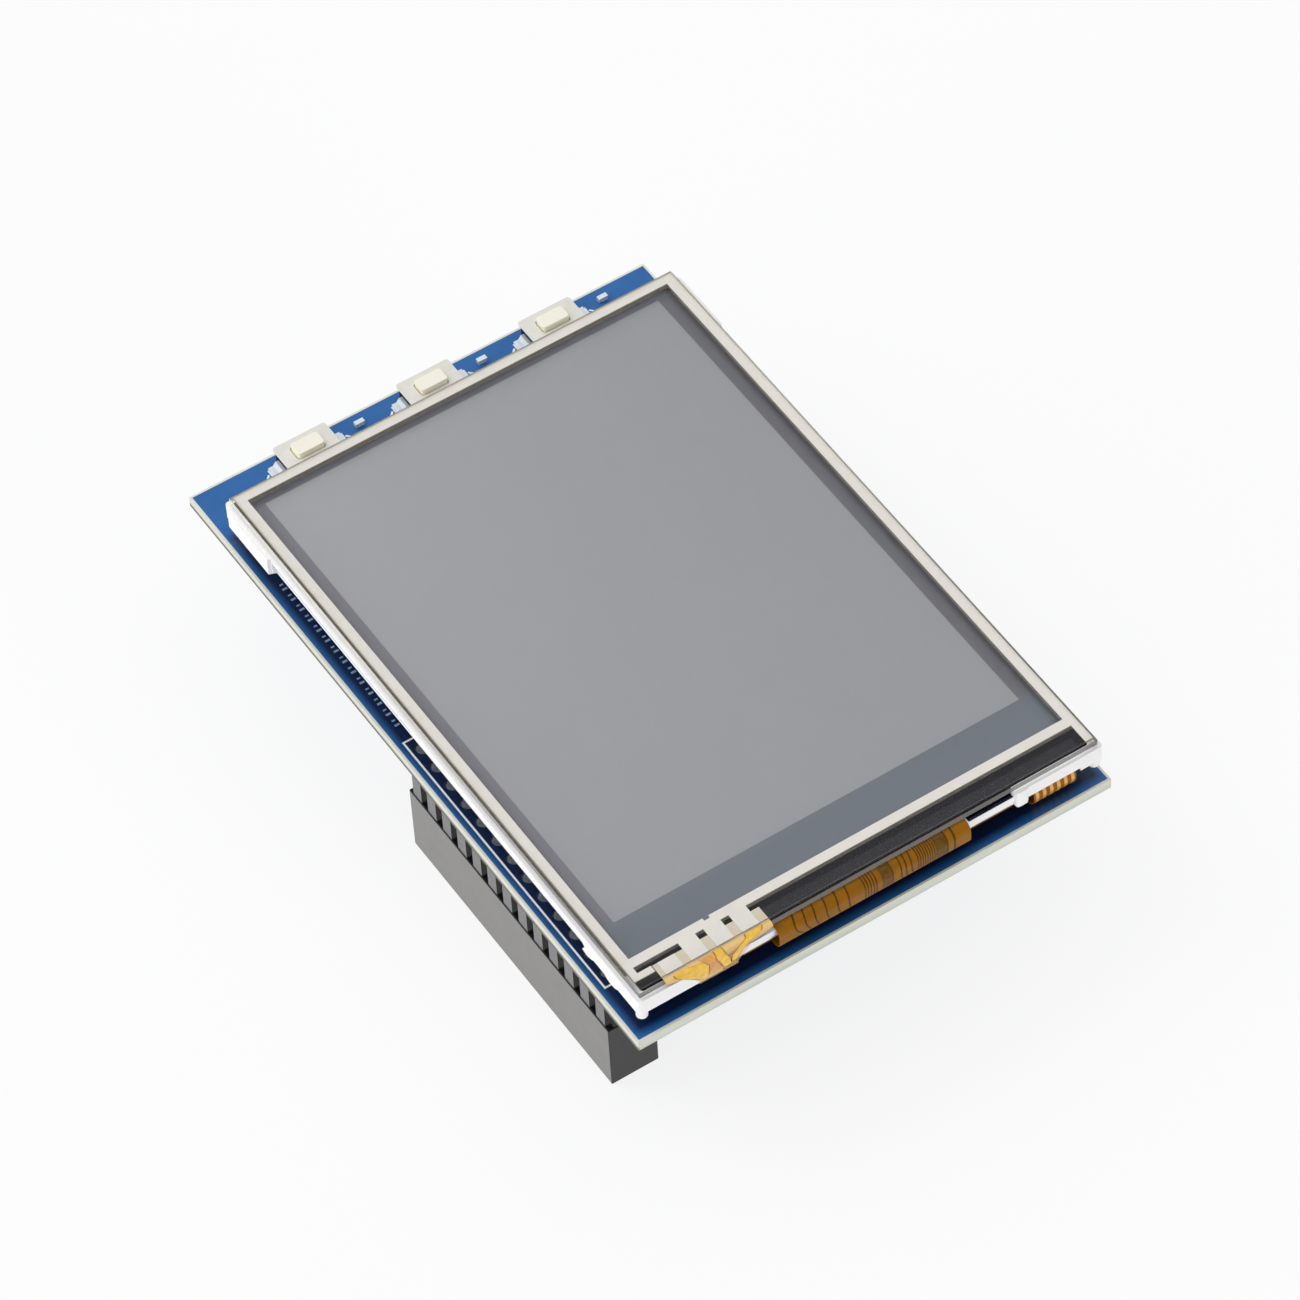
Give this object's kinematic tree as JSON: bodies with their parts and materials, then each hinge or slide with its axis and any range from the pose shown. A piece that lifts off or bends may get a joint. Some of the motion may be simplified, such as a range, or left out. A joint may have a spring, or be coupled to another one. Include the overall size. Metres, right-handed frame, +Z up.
{
  "type": "tft display module",
  "caption": "Plug-on touch display: framed picture panel with touch layer on a circuit board, with push keys along the far edge and a two-row pin socket below.",
  "frame": {"origin": "below the middle of the circuit board, on the mating face of the pin socket", "axes": "+X to the right across the short side, +Y along the long side towards the keys, +Z up out of the screen"},
  "size_m": [0.0506, 0.0762, 0.0205],
  "materials": {
    "board": "blue lacquer over glass fibre board",
    "socket_plastic": "moulded, smooth",
    "spacer_plastic": "moulded, smooth",
    "contact": "gold plated",
    "solder": "reflowed solder",
    "tinned": "tin plated",
    "ceramic": "ceramic",
    "foam": "foam tape",
    "frame_white": "moulded, satin",
    "white_sheet": "thin sheet",
    "guide": "clear acrylic",
    "prism": "ribbed film",
    "flex": "amber film over copper",
    "lamp": "moulded lamp with yellow face",
    "black_tape": "film tape",
    "polariser": "dark film",
    "cell_glass": "glass",
    "chip_black": "moulded epoxy",
    "touch_clear": "glass",
    "touch_clear_film": "hard-coated film",
    "ring_ivory": "printed adhesive",
    "key_black": "moulded",
    "key_metal": "plated sheet",
    "button_ivory": "moulded"
  },
  "bodies": {
    "module": {"circuit_board": "board", "socket_body": "socket_plastic", "spacer_strip": "spacer_plastic", "socket_contacts": "contact", "header_solder": "solder", "key_base_1": "key_black", "key_base_2": "key_black", "key_base_3": "key_black", "key_cover_1": "key_metal", "key_cover_2": "key_metal", "key_cover_3": "key_metal", "key_dome_1": "key_metal", "key_dome_2": "key_metal", "key_dome_3": "key_metal", "key_terminals": "tinned", "key_capacitors": "ceramic", "foam_pad_left": "foam", "foam_pad_right": "foam", "backlight_frame": "frame_white", "reflector_sheet": "white_sheet", "light_guide": "guide", "diffuser_film": "white_sheet", "lower_prism_film": "prism", "upper_prism_film": "prism", "lamp_strip": "flex", "lamps": "lamp", "rim_tape": "black_tape", "rear_polariser": "polariser", "array_glass": "cell_glass", "colour_filter_glass": "cell_glass", "front_polariser": "polariser", "driver_chip": "chip_black", "ledge_tape": "black_tape", "panel_flex": "flex", "panel_flex_joints": "solder", "touch_gasket": "black_tape", "touch_glass": "touch_clear", "touch_ring": "ring_ivory", "touch_pads": "ring_ivory", "touch_film": "touch_clear_film", "touch_tail": "flex", "touch_controller": "chip_black", "controller_leads": "tinned", "lamp_driver": "chip_black", "driver_leads": "tinned", "chip_resistors": "chip_black", "chip_capacitors": "ceramic", "chip_ends": "tinned"},
    "button_1": {"key_button_1": "button_ivory"},
    "button_2": {"key_button_2": "button_ivory"},
    "button_3": {"key_button_3": "button_ivory"}
  },
  "joints": [
    {"name": "button_1_press", "type": "slide", "parent": "module", "child": "button_1", "axis": [0, 0, -1], "range_m": [0, 0.00025], "stiffness_N_per_m": 6400, "deforming": ["key_dome_1"]},
    {"name": "button_2_press", "type": "slide", "parent": "module", "child": "button_2", "axis": [0, 0, -1], "range_m": [0, 0.00025], "stiffness_N_per_m": 6400, "deforming": ["key_dome_2"]},
    {"name": "button_3_press", "type": "slide", "parent": "module", "child": "button_3", "axis": [0, 0, -1], "range_m": [0, 0.00025], "stiffness_N_per_m": 6400, "deforming": ["key_dome_3"]}
  ]
}
